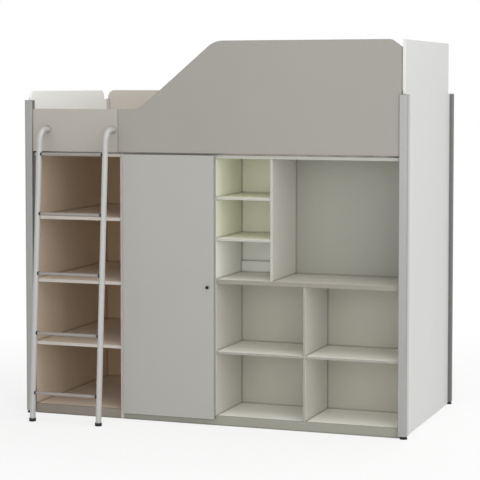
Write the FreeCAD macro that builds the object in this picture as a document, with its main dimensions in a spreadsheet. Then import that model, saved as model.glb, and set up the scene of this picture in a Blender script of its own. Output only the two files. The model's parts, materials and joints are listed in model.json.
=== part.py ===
import FreeCAD, Part
import math
import os
import Sketcher

# High bed on four aluminium posts over a storage wall: bookcase bay, wardrobe, desk unit.
# X runs along the bed, Y from the front to the back, Z up; the floor is Z = 0.
# The origin is on the floor, in the middle of the footprint that bed and ladder take together.

# Driving sizes in millimetres, angles in degrees.
driving_sizes = {
    # frame
    "bed_length": 2022,
    "bed_width": 1000,
    "post_width": 44,
    "post_depth": 40,
    "post_round": 14,
    "post_edge": 3,
    "left_post_rise": 261,
    "right_post_rise": 293,
    "cap_thickness": 3,
    "cap_plug_length": 12,
    "core_from_side": 20,
    "groove_depth": 10,
    "fit": 0.3,
    "foot_height": 14,
    "foot_inset": 1,
    "foot_rim": 6,
    "foot_neck": 22,
    "spindle": 10,
    "spindle_fit": 0.05,
    "spindle_length": 45,
    # end panels
    "panel": 12,
    "wall_gap": 2,
    "panel_lift": 4,
    "panel_setback": 15,
    "panel_rear_gap": 28,
    "low_guard_height": 310,
    "left_panel_round": 40,
    # guard boards
    "guard": 20,
    "guard_setback": 8,
    "deck_gap": 8,
    "entry_height": 217,
    "entry_width": 476,
    "seam": 0.6,
    "guard_rise": 339,
    "slope_start": 114,
    "slope_run": 405,
    "slope_round": 120,
    "chamfer_run": 49,
    "chamfer_drop": 37,
    "chamfer_round": 40,
    "rear_round": 40,
    # sleeping deck
    "rail_lift": 6,
    "rail_height": 60,
    "rail": 25,
    "slat_width": 70,
    "slat": 12,
    "slat_end_gap": 3,
    "slat_margin": 81,
    "bracket_leg": 45,
    "bracket_height": 40,
    "bracket": 4,
    # storage carcasses
    "board": 16,
    "thin_board": 12,
    "back_board": 8,
    "carcass_front": 26,
    "unit_height": 1348,
    "plinth_height": 48,
    "back_clearance": 80,
    "desk_unit_depth": 401,
    "bay_width": 511,
    "wardrobe_width": 502,
    "hat_space": 212,
    "hanging_rail": 25,
    "hanging_rail_drop": 70,
    "hanging_rail_back": 300,
    "socket_diameter": 44,
    "socket": 8,
    "desk_height": 732,
    "desk": 22,
    "cubby_width": 282,
    "back_rail_height": 57,
    "lower_bay_width": 452,
    "lower_opening": 312,
    # door and its concealed hinges
    "door": 20,
    "door_gap": 4,
    "door_overlay_left": 8,
    "door_overlay_right": 10,
    "door_overlay_bottom": 15,
    "door_top_gap": 2,
    "hinge_end": 110,
    "hinge_inset": 9,
    "hinge_depth": 10,
    "cup": 35,
    "cup_depth": 14,
    "cup_wall": 1,
    "cup_edge": 4.5,
    "cup_flange": 2,
    "cup_flange_height": 1.2,
    "cup_fit": 0.1,
    "pin": 2.4,
    "pin_fit": 0.05,
    "knuckle": 5,
    "arm_width": 8,
    "arm": 2.5,
    "arm_reach": 16,
    "arm_leg": 3.5,
    "plate_set_back": 8,
    "plate_length": 56,
    "plate_height": 34,
    "knob_diameter": 14,
    "knob_foot": 9,
    "knob_length": 16,
    "knob_inset": 31,
    "knob_height": 692,
    # ladder
    "hook_reach": 91,
    "lean_angle": 4,
    "ladder_offset": 87,
    "ladder_margin": 25,
    "tube": 29,
    "tube_wall": 2,
    "bend": 64,
    "hook_rise": 112,
    "rung_first": 144,
    "rung_top_gap": 122,
    "rung_depth": 24,
    "rung_height": 15,
    "rung_flat": 2,
    "collar": 4,
    "collar_rim": 1,
    "collar_sink": 4,
    "shoe_wall": 3,
    "shoe_height": 16,
    "shoe_floor": 5,
    "bolt": 8,
    "bolt_head": 16,
    "bolt_head_height": 5,
    "plug_length": 18,
}
slat_count = 14
rung_count = 5
bay_shelves = ["low", "middle", "high"]
cubby_shelves = ["low", "high"]

doc = FreeCAD.newDocument("modular_bed")
sheet = doc.addObject("Spreadsheet::Sheet", "size")
for row, (alias, value) in enumerate(driving_sizes.items(), start=1):
    sheet.set(f"A{row}", alias)
    sheet.set(f"B{row}", str(value))
    sheet.setAlias(f"B{row}", alias)
doc.recompute()

parts = []


def number(formula):
    """Value of a formula on the sheet's sizes."""
    return float(sheet.evalExpression(formula.replace("size.", "")))


def bind(item, links):
    for path, formula in links.items():
        item.setExpression(path, formula)
    return item


def place(item, x, y, z):
    return bind(item, {"Placement.Base.x": x, "Placement.Base.y": y, "Placement.Base.z": z})


def keep(item, label):
    """Make an object one of the finished sub-parts."""
    item.Label = label
    parts.append(item)
    return item


def board(label, x, y, z):
    """Flat board between pairs of planes, each pair a lower and an upper formula."""
    box = doc.addObject("Part::Box", label)
    bind(box, {
        "Length": f"({x[1]}) - ({x[0]})",
        "Width": f"({y[1]}) - ({y[0]})",
        "Height": f"({z[1]}) - ({z[0]})",
    })
    return place(box, x[0], y[0], z[0])


def rod(label, diameter, length, axis, x, y, z):
    """Round bar from a point along an axis."""
    bar = doc.addObject("Part::Cylinder", label)
    bind(bar, {"Radius": f"({diameter}) / 2", "Height": length})
    bar.Placement.Rotation = FreeCAD.Rotation(FreeCAD.Vector(0, 0, 1), axis)
    return place(bar, x, y, z)


def new_body(label):
    return doc.addObject("PartDesign::Body", label)


def new_sketch(body, role):
    sketch = body.newObject("Sketcher::SketchObject", body.Name + "_sketch")
    plane = next(item for item in body.Origin.OriginFeatures if item.Role == role)
    sketch.AttachmentSupport = (plane, [""])
    sketch.MapMode = "FlatFace"
    return sketch


def set_length(sketch, constraint, formula):
    index = sketch.addConstraint(constraint)
    sketch.setExpression(f"Constraints[{index}]", formula)


def outline(body, role, corners):
    """Closed straight-sided sketch through corners given as pairs of formulas."""
    sketch = new_sketch(body, role)
    points = [FreeCAD.Vector(number(across), number(up), 0) for across, up in corners]
    following = points[1:] + points[:1]
    for start, end in zip(points, following):
        sketch.addGeometry(Part.LineSegment(start, end), False)
    count = len(points)
    for side in range(count):
        sketch.addConstraint(Sketcher.Constraint("Coincident", side, 2, (side + 1) % count, 1))
    for side, (across, up) in enumerate(corners):
        set_length(sketch, Sketcher.Constraint("DistanceX", side, 1, points[side].x), across)
        set_length(sketch, Sketcher.Constraint("DistanceY", side, 1, points[side].y), up)
    return sketch


def circles(body, role, diameters, centre=("0", "0")):
    """Sketch of circles about one centre."""
    sketch = new_sketch(body, role)
    middle = FreeCAD.Vector(number(centre[0]), number(centre[1]), 0)
    for index, diameter in enumerate(diameters):
        radius = number(diameter) / 2
        sketch.addGeometry(Part.Circle(middle, FreeCAD.Vector(0, 0, 1), radius), False)
        set_length(sketch, Sketcher.Constraint("DistanceX", index, 3, middle.x), centre[0])
        set_length(sketch, Sketcher.Constraint("DistanceY", index, 3, middle.y), centre[1])
        set_length(sketch, Sketcher.Constraint("Radius", index, radius), f"({diameter}) / 2")
    return sketch


def pad(body, sketch, length, midplane=False):
    feature = body.newObject("PartDesign::Pad", body.Name + "_pad")
    feature.Profile = sketch
    feature.Midplane = midplane
    feature.setExpression("Length", length)
    doc.recompute()
    return feature


def pocket(body, sketch, depth):
    """Cut a sketch into the solid that was padded from the same plane."""
    before = body.Shape.Volume
    feature = body.newObject("PartDesign::Pocket", body.Name + "_pocket")
    feature.Profile = sketch
    feature.Reversed = True
    feature.setExpression("Length", depth)
    doc.recompute()
    if feature.Shape.Volume >= before:
        raise RuntimeError(f"{body.Name}: the pocket cuts nothing")
    return feature


def revolve(body, sketch):
    feature = body.newObject("PartDesign::Revolution", body.Name + "_turn")
    feature.Profile = sketch
    feature.ReferenceAxis = (sketch, ["V_Axis"])
    feature.Angle = 360
    doc.recompute()
    return feature


def round_edges(body, radius, wanted):
    """Round the straight edges of the body's tip for which wanted(start, end) is true."""
    base = body.Tip
    names = []
    for index, edge in enumerate(base.Shape.Edges, start=1):
        ends = [vertex.Point for vertex in edge.Vertexes]
        if len(ends) == 2 and wanted(*ends):
            names.append(f"Edge{index}")
    feature = body.newObject("PartDesign::Fillet", body.Name + "_round")
    feature.Base = (base, names)
    feature.setExpression("Radius", radius)
    doc.recompute()
    return feature


def upright_at(across, along):
    """Test for an upright edge through a point of the XY plane."""
    near = 0.01
    return lambda start, end: (
        abs(start.x - across) < near and abs(end.x - across) < near
        and abs(start.y - along) < near and abs(end.y - along) < near)


def crosswise_at(axis, across, up):
    """Test for an edge along X or Y that passes through a point of the other upright plane."""
    near = 0.01
    other = "y" if axis == "x" else "x"
    return lambda start, end: (
        abs(getattr(start, axis) - getattr(end, axis)) > near
        and abs(getattr(start, other) - across) < near and abs(getattr(end, other) - across) < near
        and abs(start.z - up) < near and abs(end.z - up) < near)


def group(label, members):
    """Several solids that share one name."""
    compound = doc.addObject("Part::Compound", label)
    compound.Links = members
    return keep(compound, label)


def cut(label, base, tool):
    result = doc.addObject("Part::Cut", label)
    result.Base = base
    result.Tool = tool
    return result


def fuse(label, members):
    result = doc.addObject("Part::MultiFuse", label)
    result.Shapes = members
    return result


# Heights and planes that several pieces share, as formulas on the sheet.
guard_bottom = "(size.unit_height + size.deck_gap)"
entry_top = f"({guard_bottom} + size.entry_height)"
guard_top = f"({entry_top} + size.guard_rise)"
low_guard_top = f"({guard_bottom} + size.low_guard_height)"
rail_bottom = f"({guard_bottom} + size.rail_lift)"
rail_top = f"({rail_bottom} + size.rail_height)"
hook_height = f"({guard_bottom} + size.hook_rise)"

lean = "size.lean_angle"
rise = f"({hook_height} - size.shoe_floor)"
shoe = "(size.tube + 2 * size.shoe_wall)"
ladder_reach = f"(size.hook_reach + {rise} * tan({lean}) - size.guard_setback)"
front = f"(({ladder_reach} + {shoe} / 2 - size.bed_width) / 2)"
rear = f"({front} + size.bed_width)"
outer = "(size.bed_length / 2)"
post_inner = f"({outer} - size.post_width)"
wall_inner = f"({post_inner} - size.wall_gap)"
panel_inner = f"({wall_inner} + size.board)"
panel_inset = f"({outer} - {panel_inner} - size.panel)"
carcass = f"({front} + size.carcass_front)"
plinth_rear = f"({carcass} + size.board)"
deep_rear = f"({rear} - size.back_clearance)"
shallow_rear = f"({front} + size.desk_unit_depth)"
behind_post = f"({front} + size.post_depth + size.fit)"
bay_right = f"(size.bay_width - {panel_inner})"
partition_right = f"({bay_right} + size.wardrobe_width)"
partition_left = f"({partition_right} - size.board)"
ceiling = "(size.unit_height - size.board)"
guard_front = f"({front} + size.guard_setback)"
guard_rear = f"({guard_front} + size.guard)"
seam_place = f"(size.entry_width - {post_inner})"
rail_rear = f"({guard_rear} + size.rail)"
core_bore = "(size.spindle + 2 * size.spindle_fit)"


def mirrored_y(plane):
    """Plane at the back that matches a plane at the front."""
    return f"({front} + {rear} - {plane})"


# Posts: one extrusion section, with a groove for the guard boards and one for the end panel.
def post_section(body, to_right, to_back):
    across = -1 if to_right else 1
    along = -1 if to_back else 1
    guard_low = "size.guard_setback - size.fit"
    guard_high = "size.guard_setback + size.guard + size.fit"
    guard_floor = "size.post_width - size.groove_depth - size.fit"
    panel_low = f"{panel_inset} - size.fit"
    panel_high = f"{panel_inset} + size.panel + size.fit"
    panel_floor = "size.post_depth - size.groove_depth - size.fit"
    corners = [
        ("0", "0"), ("size.post_width", "0"),
        ("size.post_width", guard_low), (guard_floor, guard_low),
        (guard_floor, guard_high), ("size.post_width", guard_high),
        ("size.post_width", "size.post_depth"),
        (panel_high, "size.post_depth"), (panel_high, panel_floor),
        (panel_low, panel_floor), (panel_low, "size.post_depth"),
        ("0", "size.post_depth"),
    ]
    signed = [(f"{across} * ({u})", f"{along} * ({v})") for u, v in corners]
    return outline(body, "XY_Plane", signed), across, along


def round_post(body, across, along):
    depth = along * number("size.post_depth")
    width = across * number("size.post_width")
    small = [upright_at(width, 0), upright_at(0, depth), upright_at(width, depth)]
    round_edges(body, "size.post_round", upright_at(0, 0))
    round_edges(body, "size.post_edge", lambda start, end: any(test(start, end) for test in small))


post_sites = [
    ("front_left", False, False), ("front_right", True, False),
    ("rear_left", False, True), ("rear_right", True, True),
]
caps = []
for site, to_right, to_back in post_sites:
    top = f"({guard_bottom} + size.{'right' if to_right else 'left'}_post_rise)"
    corner_x = outer if to_right else f"-{outer}"
    corner_y = rear if to_back else front

    post = new_body(f"{site}_post")
    section, across, along = post_section(post, to_right, to_back)
    pad(post, section, f"{top} - size.cap_thickness - size.foot_height")
    core = (f"{across} * size.core_from_side", f"{along} * size.post_depth / 2")
    bore = circles(post, "XY_Plane", [core_bore], core)
    pocket(post, bore, f"{top}")
    round_post(post, across, along)
    keep(place(post, corner_x, corner_y, "size.foot_height"), f"{site}_post")

    cap = new_body(f"{site}_cap")
    section, across, along = post_section(cap, to_right, to_back)
    pad(cap, section, "size.cap_thickness")
    round_post(cap, across, along)
    place(cap, corner_x, corner_y, f"{top} - size.cap_thickness")
    plug = rod(f"{site}_cap_plug", f"{core_bore} - 2 * size.cup_fit", "size.cap_plug_length",
               FreeCAD.Vector(0, 0, -1), f"{corner_x} + {core[0]}", f"{corner_y} + {core[1]}",
               f"{top} - size.cap_thickness")
    caps.append(fuse(f"{site}_cap_with_plug", [cap, plug]))

    foot = new_body(f"{site}_foot")
    half_foot = "(size.post_depth / 2 - size.foot_inset)"
    foot_top = "size.foot_height - size.fit"
    revolve(foot, outline(foot, "XZ_Plane", [
        ("0", "0"), (f"{half_foot} - size.foot_rim / 4", "0"),
        (half_foot, "size.foot_rim / 4"), (half_foot, "size.foot_rim"),
        ("size.foot_neck / 2", foot_top), ("size.spindle / 2", foot_top),
        ("size.spindle / 2", "size.foot_height + size.spindle_length"),
        ("0", "size.foot_height + size.spindle_length"),
    ]))
    place(foot, f"{corner_x} + {core[0]}", f"{corner_y} + {core[1]}", "0")
    keep(foot, f"{site}_foot")
group("post_top_caps", caps)


# End panels: tongues in the post grooves, a shoulder over the front post, clear of the rear post above it.
panel_rear_edge = "(size.bed_width - size.post_depth - size.panel_rear_gap)"


def end_panel(label, at, post_top, panel_top):
    panel = new_body(label)
    tongue = "(size.post_depth - size.groove_depth)"
    clear_of_foot = "(size.foot_height + size.fit)"
    shoulder = f"({post_top} + size.fit)"
    front_edge = [
        ("size.post_depth", "size.panel_lift"), ("size.post_depth", clear_of_foot),
        (tongue, clear_of_foot), (tongue, shoulder),
        ("size.panel_setback", shoulder), ("size.panel_setback", panel_top),
    ]
    rear_edge = [
        (panel_rear_edge, panel_top), (panel_rear_edge, post_top),
        (f"size.bed_width - {tongue}", post_top), (f"size.bed_width - {tongue}", clear_of_foot),
        ("size.bed_width - size.post_depth", clear_of_foot),
        ("size.bed_width - size.post_depth", "size.panel_lift"),
    ]
    sketch = outline(panel, "YZ_Plane", front_edge + rear_edge)
    pad(panel, sketch, "size.panel")
    return keep(place(panel, at, front, "0"), label)


left_panel = end_panel("left_end_panel", f"-{panel_inner} - size.panel",
                       f"({guard_bottom} + size.left_post_rise)", low_guard_top)
left_corners = [number("size.panel_setback"), number(panel_rear_edge)]
left_corner_tests = [
    crosswise_at("x", corner, number(low_guard_top)) for corner in left_corners
]
round_edges(left_panel, "size.left_panel_round",
            lambda start, end: any(test(start, end) for test in left_corner_tests))
end_panel("right_end_panel", panel_inner, f"({guard_bottom} + size.right_post_rise)", guard_top)

# Front guard: steps up from the entry board along a slope, chamfered at its far end.
guard = new_body("front_guard_panel")
guard_length = f"({post_inner} + size.groove_depth - {seam_place} - size.seam)"
slope_foot = ("size.slope_start", entry_top)
slope_head = ("size.slope_start + size.slope_run", guard_top)
chamfer_head = (f"{guard_length} - size.chamfer_run", guard_top)
sketch = outline(guard, "XZ_Plane", [
    ("0", guard_bottom), (guard_length, guard_bottom),
    (guard_length, f"{guard_top} - size.chamfer_drop"), chamfer_head,
    slope_head, slope_foot, ("0", entry_top),
])
pad(guard, sketch, "size.guard")
slope_tests = [
    crosswise_at("y", number(u), number(v)) for u, v in (slope_foot, slope_head)
]
round_edges(guard, "size.slope_round",
            lambda start, end: any(test(start, end) for test in slope_tests))
round_edges(guard, "size.chamfer_round",
            crosswise_at("y", number(chamfer_head[0]), number(chamfer_head[1])))
keep(place(guard, f"{seam_place} + size.seam", guard_rear, "0"), "front_guard_panel")

rear_guard = new_body("rear_guard_panel")
rear_length = f"(2 * ({post_inner} + size.groove_depth))"
sketch = outline(rear_guard, "XZ_Plane", [
    ("0", guard_bottom), (rear_length, guard_bottom),
    (rear_length, low_guard_top), ("0", low_guard_top),
])
pad(rear_guard, sketch, "size.guard")
rear_tests = [
    crosswise_at("y", corner, number(low_guard_top)) for corner in (0, number(rear_length))
]
round_edges(rear_guard, "size.rear_round",
            lambda start, end: any(test(start, end) for test in rear_tests))
keep(place(rear_guard, f"-{post_inner} - size.groove_depth", mirrored_y(guard_front), "0"),
     "rear_guard_panel")

# Sleeping deck: ledger rails on the guard boards, end rails on the end panels, slats on top.
rail_span = (f"size.fit - {post_inner}", f"{post_inner} - size.fit")
rail_height = (rail_bottom, rail_top)
keep(board("front_bed_rail", rail_span, (guard_rear, rail_rear), rail_height), "front_bed_rail")
keep(board("rear_bed_rail", rail_span, (mirrored_y(rail_rear), mirrored_y(guard_rear)), rail_height),
     "rear_bed_rail")
end_rail_depth = (rail_rear, mirrored_y(rail_rear))
end_rail_inner = f"({panel_inner} - size.rail)"
keep(board("left_end_rail", (f"-{panel_inner}", f"-{end_rail_inner}"), end_rail_depth, rail_height),
     "left_end_rail")
keep(board("right_end_rail", (end_rail_inner, panel_inner), end_rail_depth, rail_height),
     "right_end_rail")

brackets = []
for side, across in (("left", 1), ("right", -1)):
    for end, along in (("front", 1), ("rear", -1)):
        bracket = new_body(f"{side}_{end}_bracket")
        corners = [
            ("0", "0"), ("size.bracket_leg", "0"), ("size.bracket_leg", "size.bracket"),
            ("size.bracket", "size.bracket"), ("size.bracket", "size.bracket_leg"),
            ("0", "size.bracket_leg"),
        ]
        signed = [(f"{across} * {u}", f"{along} * {v}") for u, v in corners]
        pad(bracket, outline(bracket, "XY_Plane", signed), "size.bracket_height")
        corner_y = rail_rear if end == "front" else mirrored_y(rail_rear)
        place(bracket, f"{-across} * {end_rail_inner}", corner_y,
              f"{rail_bottom} + (size.rail_height - size.bracket_height) / 2")
        brackets.append(bracket)
group("rail_corner_brackets", brackets)

slats = []
slat_first = f"(size.slat_margin - {panel_inner})"
slat_step = f"(-2 * {slat_first} / {slat_count - 1})"
slat_depth = (f"{guard_rear} + size.slat_end_gap", f"{mirrored_y(guard_rear)} - size.slat_end_gap")
for index in range(slat_count):
    middle = f"({slat_first} + {index} * {slat_step})"
    slats.append(board(f"slat_{index + 1}", (f"{middle} - size.slat_width / 2",
                                            f"{middle} + size.slat_width / 2"),
                       slat_depth, (rail_top, f"{rail_top} + size.slat")))
group("bed_slats", slats)


# The wardrobe's sides have a notch at the front foot for the plinth that runs past them.
def notched_side(label, left_face, depth):
    side = new_body(label)
    sketch = outline(side, "YZ_Plane", [
        ("size.board", "0"), (depth, "0"), (depth, "size.unit_height"), ("0", "size.unit_height"),
        ("0", "size.plinth_height"), ("size.board", "size.plinth_height"),
    ])
    pad(side, sketch, "size.board")
    return keep(place(side, left_face, carcass, "0"), label)


full_height = ("0", "size.unit_height")
deep_length = f"({deep_rear} - {carcass})"
top_heights = (ceiling, "size.unit_height")
bottom_heights = ("size.plinth_height - size.board", "size.plinth_height")
back_heights = ("size.panel_lift", "size.unit_height")
deep = (carcass, deep_rear)
behind_plinth = (plinth_rear, deep_rear)
deep_back = (deep_rear, f"{deep_rear} + size.back_board")

# Bookcase bay at the left.
bay = (f"-{wall_inner}", f"{bay_right} - size.board")
keep(board("bay_left_side", (f"-{panel_inner}", f"-{wall_inner}"), (behind_post, deep_rear), full_height),
     "bay_left_side")
keep(board("bay_right_side", (f"{bay_right} - size.board", bay_right), deep, full_height), "bay_right_side")
keep(board("bay_plinth", bay, (carcass, plinth_rear), ("0", "size.plinth_height")), "bay_plinth")
keep(board("bay_bottom", bay, behind_plinth, bottom_heights), "bay_bottom")
keep(board("bay_top", bay, deep, top_heights), "bay_top")
keep(board("bay_back", (f"-{panel_inner}", bay_right), deep_back, back_heights), "bay_back")
bay_opening = f"(({ceiling} - size.plinth_height - {len(bay_shelves)} * size.board) / {len(bay_shelves) + 1})"
for index, level in enumerate(bay_shelves, start=1):
    shelf_top = f"(size.plinth_height + {index} * ({bay_opening} + size.board))"
    keep(board(f"bay_shelf_{level}", bay, deep, (f"{shelf_top} - size.board", shelf_top)),
         f"bay_shelf_{level}")

# Wardrobe in the middle, which shares its partition and plinth with the desk unit.
wardrobe = (f"{bay_right} + size.board", partition_left)
notched_side("wardrobe_side", bay_right, deep_length)
notched_side("partition", partition_left, deep_length)
keep(board("main_plinth", (bay_right, wall_inner), (carcass, plinth_rear), ("0", "size.plinth_height")),
     "main_plinth")
keep(board("wardrobe_bottom", wardrobe, behind_plinth, bottom_heights), "wardrobe_bottom")
keep(board("wardrobe_top", wardrobe, deep, top_heights), "wardrobe_top")
keep(board("wardrobe_back", (bay_right, partition_right), deep_back, back_heights), "wardrobe_back")
hat_shelf_top = f"({ceiling} - size.hat_space)"
keep(board("hat_shelf", wardrobe, (plinth_rear, deep_rear), (f"{hat_shelf_top} - size.board", hat_shelf_top)),
     "hat_shelf")

along_x = FreeCAD.Vector(1, 0, 0)
hanging_y = f"({front} + size.hanging_rail_back)"
hanging_z = f"({hat_shelf_top} - size.board - size.hanging_rail_drop)"
keep(rod("hanging_rail", "size.hanging_rail", f"{wardrobe[1]} - ({wardrobe[0]}) - 2 * size.fit", along_x,
         f"{wardrobe[0]} + size.fit", hanging_y, hanging_z), "hanging_rail")
sockets = []
for end, start in (("left", wardrobe[0]), ("right", f"{wardrobe[1]} - size.socket")):
    disc = rod(f"{end}_socket_disc", "size.socket_diameter", "size.socket", along_x,
               start, hanging_y, hanging_z)
    hole = rod(f"{end}_socket_hole", "size.hanging_rail + 2 * size.fit", "size.socket", along_x,
               start, hanging_y, hanging_z)
    sockets.append(cut(f"{end}_socket", disc, hole))
group("hanging_rail_sockets", sockets)

# Desk and cubby unit at the right, shallower than the rest.
desk_bay = (partition_right, wall_inner)
shallow = (carcass, shallow_rear)
divider_left = f"({partition_right} + size.cubby_width)"
lower_divider_left = f"({partition_right} + size.lower_bay_width)"
desk_under = "(size.desk_height - size.desk)"
keep(board("desk_unit_side", (wall_inner, panel_inner), (behind_post, shallow_rear), full_height),
     "desk_unit_side")
keep(board("desk_unit_bottom", desk_bay, (plinth_rear, shallow_rear), bottom_heights), "desk_unit_bottom")
keep(board("desk_unit_top", desk_bay, shallow, top_heights), "desk_unit_top")
keep(board("desk_unit_back", (partition_right, panel_inner),
           (shallow_rear, f"{shallow_rear} + size.back_board"), back_heights), "desk_unit_back")
keep(board("desk_top", desk_bay, shallow, (desk_under, "size.desk_height")), "desk_top")
keep(board("upper_divider", (divider_left, f"{divider_left} + size.thin_board"), shallow,
           ("size.desk_height", ceiling)), "upper_divider")
cubby = (partition_right, divider_left)
free_height = f"({ceiling} - size.desk_height - {len(cubby_shelves)} * size.thin_board)"
cubby_opening = f"({free_height} / {len(cubby_shelves) + 1})"
for index, level in enumerate(cubby_shelves, start=1):
    shelf_top = f"(size.desk_height + {index} * ({cubby_opening} + size.thin_board))"
    keep(board(f"cubby_shelf_{level}", cubby, shallow, (f"{shelf_top} - size.thin_board", shelf_top)),
         f"cubby_shelf_{level}")
keep(board("cubby_back_rail", cubby, (f"{shallow_rear} - size.thin_board", shallow_rear),
           ("size.desk_height", "size.desk_height + size.back_rail_height")), "cubby_back_rail")
keep(board("lower_divider", (lower_divider_left, f"{lower_divider_left} + size.thin_board"), shallow,
           ("size.plinth_height", desk_under)), "lower_divider")
lower_shelf_under = "(size.plinth_height + size.lower_opening)"
lower_shelf = (lower_shelf_under, f"{lower_shelf_under} + size.thin_board")
keep(board("lower_left_shelf", (partition_right, lower_divider_left), shallow, lower_shelf),
     "lower_left_shelf")
keep(board("lower_right_shelf", (f"{lower_divider_left} + size.thin_board", wall_inner), shallow,
           lower_shelf), "lower_right_shelf")

# Door on three concealed hinges: cup and pin turn with the door, arm and plate stay on the side.
door_left = f"({bay_right} + size.board - size.door_overlay_left)"
door_right = f"({partition_left} + size.door_overlay_right)"
door_rear = f"({carcass} - size.door_gap)"
door_bottom = "(size.plinth_height - size.door_overlay_bottom)"
door_height = f"(size.unit_height - size.door_top_gap - {door_bottom})"
axis_x = f"({door_left} + size.hinge_inset)"
axis_y = f"({door_rear} - size.hinge_depth)"
cup_middle = "(size.cup_edge + size.cup / 2)"
hinge_heights = ["size.hinge_end", f"{door_height} / 2", f"{door_height} - size.hinge_end"]

door = new_body("wardrobe_door")
pad(door, outline(door, "XZ_Plane", [
    ("0", "0"), (f"{door_right} - {door_left}", "0"),
    (f"{door_right} - {door_left}", door_height), ("0", door_height),
]), "size.door")
for height in hinge_heights:
    seat = circles(door, "XZ_Plane", ["size.cup + 2 * size.cup_fit"], (cup_middle, height))
    pocket(door, seat, "size.cup_depth + size.cup_fit")
keep(place(door, door_left, door_rear, door_bottom), "wardrobe_door")

cups = []
arms = []
for index, height in enumerate(hinge_heights, start=1):
    hinge_z = f"({door_bottom} + {height})"
    cup = new_body(f"hinge_cup_{index}")
    cup_radius = "size.cup / 2"
    cup_bore = "size.cup / 2 - size.cup_wall"
    rim = "size.cup_depth + size.cup_flange_height"
    revolve(cup, outline(cup, "XY_Plane", [
        ("0", "0"), (cup_radius, "0"), (cup_radius, "size.cup_depth"),
        (f"{cup_radius} + size.cup_flange", "size.cup_depth"), (f"{cup_radius} + size.cup_flange", rim),
        (cup_bore, rim), (cup_bore, "size.cup_wall"), ("0", "size.cup_wall"),
    ]))
    place(cup, f"{door_left} + {cup_middle}", f"{door_rear} - size.cup_depth", hinge_z)
    pin_side = f"({cup_middle} - size.hinge_inset + size.pin / 2)"
    pin_half = f"sqrt(({cup_radius}) ^ 2 - {pin_side} ^ 2)"
    pin = rod(f"hinge_pin_{index}", "size.pin", f"2 * {pin_half}", FreeCAD.Vector(0, 0, 1),
              axis_x, axis_y, f"{hinge_z} - {pin_half}")
    cups.append(fuse(f"hinge_cup_with_pin_{index}", [cup, pin]))

    arm = new_body(f"hinge_arm_{index}")
    near = "size.knuckle / 2 - size.arm / 2"
    back = f"{carcass} - {axis_y} + size.plate_set_back"
    half_arm = "size.arm / 2"
    pad(arm, outline(arm, "XY_Plane", [
        (near, f"-{half_arm}"), ("size.arm_reach", f"-{half_arm}"),
        ("size.arm_reach", f"{back} + size.plate_length"),
        ("size.arm_reach - size.arm_leg", f"{back} + size.plate_length"),
        ("size.arm_reach - size.arm_leg", half_arm), (near, half_arm),
    ]), "size.arm_width", True)
    pad(arm, circles(arm, "XY_Plane", ["size.knuckle", "size.pin + 2 * size.pin_fit"]), "size.arm_width", True)
    wall = "size.door_overlay_left - size.hinge_inset"
    pad(arm, outline(arm, "XY_Plane", [
        (wall, back), ("size.arm_reach - size.arm_leg / 2", back),
        ("size.arm_reach - size.arm_leg / 2", f"{back} + size.plate_length"),
        (wall, f"{back} + size.plate_length"),
    ]), "size.plate_height", True)
    arms.append(place(arm, axis_x, axis_y, hinge_z))
group("door_hinge_cups", cups)
group("door_hinge_arms", arms)

knob = new_body("door_knob")
revolve(knob, outline(knob, "XY_Plane", [
    ("0", "0"), ("size.knob_foot / 2", "0"), ("size.knob_foot / 2", "size.knob_length / 3"),
    ("size.knob_diameter / 2", "size.knob_length / 2"), ("size.knob_diameter / 2", "size.knob_length * 7 / 8"),
    ("size.knob_diameter * 3 / 8", "size.knob_length"), ("0", "size.knob_length"),
]))
knob.Placement.Rotation = FreeCAD.Rotation(FreeCAD.Vector(0, 0, 1), 180)
place(knob, f"{door_right} - size.knob_inset", f"{door_rear} - size.door", "size.knob_height")
keep(knob, "door_knob")

# Ladder: two bent tubes that hook on to the entry board, oval rungs between black collars.
turn = f"(90 - {lean})"
tangent = f"(size.bend * tan({turn} / 2))"
foot_y = f"({front} - {ladder_reach})"
straight_length = f"({rise} / cos({lean}) - {tangent})"
hook_length = f"(size.hook_reach - {tangent})"
leaning = FreeCAD.Rotation(FreeCAD.Vector(-1, 0, 0), number(lean))


def lean_over(item):
    """Tilt an upright piece back by the ladder's lean."""
    item.Placement.Rotation = leaning
    item.setExpression("Placement.Rotation.Angle", lean)
    return item


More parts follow.
